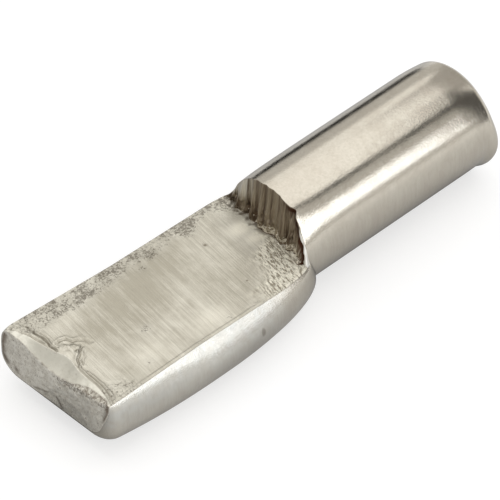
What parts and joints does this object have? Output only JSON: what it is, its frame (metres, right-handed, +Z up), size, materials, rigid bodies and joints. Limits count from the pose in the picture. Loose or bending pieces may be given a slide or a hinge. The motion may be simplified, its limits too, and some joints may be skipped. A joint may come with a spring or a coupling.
{
  "type": "shelf support pin",
  "caption": "Round nickel-plated steel shelf pin whose other half is pressed into a flat-topped paddle that carries the shelf.",
  "frame": {"origin": "on the pin's axis where the paddle's shoulder ends and the pin runs free", "axes": "+X along the pin toward its free end, +Z up out of the seat, Y across the paddle"},
  "size_m": [0.0232, 0.007, 0.0051],
  "materials": {
    "nickel_steel": "dull nickel plate over pressed steel rod"
  },
  "bodies": {
    "root": {"support_pin": "nickel_steel"}
  },
  "joints": []
}
